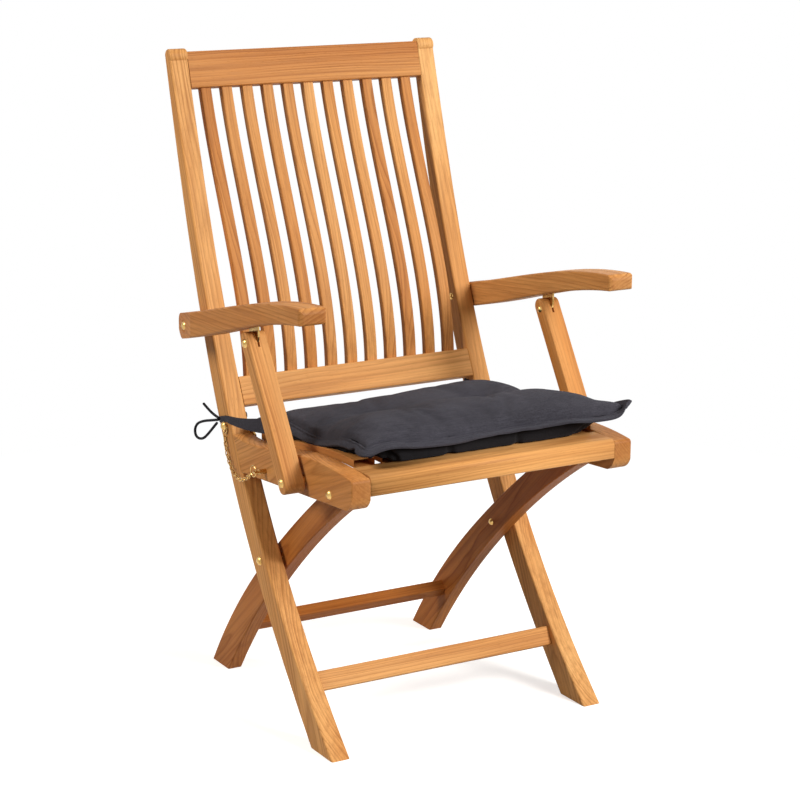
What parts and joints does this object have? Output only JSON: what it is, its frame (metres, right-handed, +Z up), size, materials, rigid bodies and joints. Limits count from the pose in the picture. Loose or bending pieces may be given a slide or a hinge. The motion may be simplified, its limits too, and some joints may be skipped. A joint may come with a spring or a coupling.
{
  "type": "folding garden armchair",
  "caption": "Folding slatted wooden armchair with a tall curved back, scissor legs, hinged arms on slotted supports, brass fittings and a tufted tie-on seat cushion.",
  "frame": {"origin": "on the floor at mid-width, centred between the four feet", "axes": "+Z up, front towards -Y, +X to the sitter's left"},
  "size_m": [0.592, 0.6351, 1.04],
  "materials": {
    "teak": "satin",
    "brass": "satin",
    "cushion_fabric": "woven matte",
    "tie_cord": "matte"
  },
  "bodies": {
    "back": {"post_left": "teak", "post_right": "teak", "top_rail": "teak", "bottom_rail": "teak", "back_slat_01": "teak", "back_slat_02": "teak", "back_slat_03": "teak", "back_slat_04": "teak", "back_slat_05": "teak", "back_slat_06": "teak", "back_slat_07": "teak", "back_slat_08": "teak", "back_slat_09": "teak", "back_slat_10": "teak", "back_slat_11": "teak", "front_stretcher": "teak", "rest_plates": "brass", "post_bolts": "brass", "chain": "brass", "tie_strap_left": "cushion_fabric", "tie_strap_right": "cushion_fabric", "tie_loop_left": "tie_cord", "tie_end_left": "tie_cord"},
    "rear_legs": {"rear_leg_left": "teak", "rear_leg_right": "teak", "rear_stretcher": "teak", "scissor_bolts": "brass", "scissor_spacers": "brass"},
    "seat": {"seat_rail_left": "teak", "seat_rail_right": "teak", "front_rail": "teak", "seat_slat_1": "teak", "seat_slat_2": "teak", "seat_slat_3": "teak", "seat_slat_4": "teak", "seat_slat_5": "teak", "seat_slat_6": "teak", "seat_slat_7": "teak", "seat_slat_8": "teak", "seat_slat_9": "teak", "slat_batten": "teak", "rear_rail": "teak", "seat_bolts": "brass", "seat_spacers": "brass", "seat_studs": "brass", "cushion": "cushion_fabric"},
    "arm_left": {"arm_left": "teak", "arm_tongue_left": "brass", "arm_bolt_left": "brass"},
    "arm_right": {"arm_right": "teak", "arm_tongue_right": "brass", "arm_bolt_right": "brass"},
    "support_left": {"support_left": "teak", "support_bolts_left": "brass"},
    "support_right": {"support_right": "teak", "support_bolts_right": "brass"},
    "safety_pin": {"safety_pin": "brass", "pin_ring": "brass"}
  },
  "joints": [
    {"name": "leg_fold", "type": "hinge", "parent": "back", "child": "rear_legs", "pos_m": [0, -0.01, 0.2556], "axis": [-1, 0, 0], "range_deg": [0, 60]},
    {"name": "seat_fold", "type": "hinge", "parent": "rear_legs", "child": "seat", "pos_m": [0, -0.2463, 0.4252], "axis": [1, 0, 0], "range_deg": [0, 120]},
    {"name": "arm_fold_left", "type": "hinge", "parent": "back", "child": "arm_left", "pos_m": [-0.233, 0.175, 0.608], "axis": [-1, 0, 0], "range_deg": [0, 80]},
    {"name": "arm_fold_right", "type": "hinge", "parent": "back", "child": "arm_right", "pos_m": [0.233, 0.175, 0.608], "axis": [-1, 0, 0], "range_deg": [0, 80]},
    {"name": "support_fold_left", "type": "hinge", "parent": "arm_left", "child": "support_left", "pos_m": [-0.27, -0.0455, 0.6208], "axis": [1, 0, 0], "range_deg": [0, 88]},
    {"name": "support_fold_right", "type": "hinge", "parent": "arm_right", "child": "support_right", "pos_m": [0.27, -0.0455, 0.6208], "axis": [1, 0, 0], "range_deg": [0, 88]},
    {"name": "pin_slide", "type": "slide", "parent": "seat", "child": "safety_pin", "axis": [-1, 0, 0], "range_m": [0, 0.045]}
  ],
  "couplings": [
    {"joint": "seat_fold", "follows": "leg_fold", "ratio": 2},
    {"joint": "arm_fold_left", "follows": "leg_fold", "ratio": 1.3171},
    {"joint": "arm_fold_right", "follows": "leg_fold", "ratio": 1.3171},
    {"joint": "support_fold_left", "follows": "leg_fold", "ratio": 1.4627},
    {"joint": "support_fold_right", "follows": "leg_fold", "ratio": 1.4627}
  ]
}
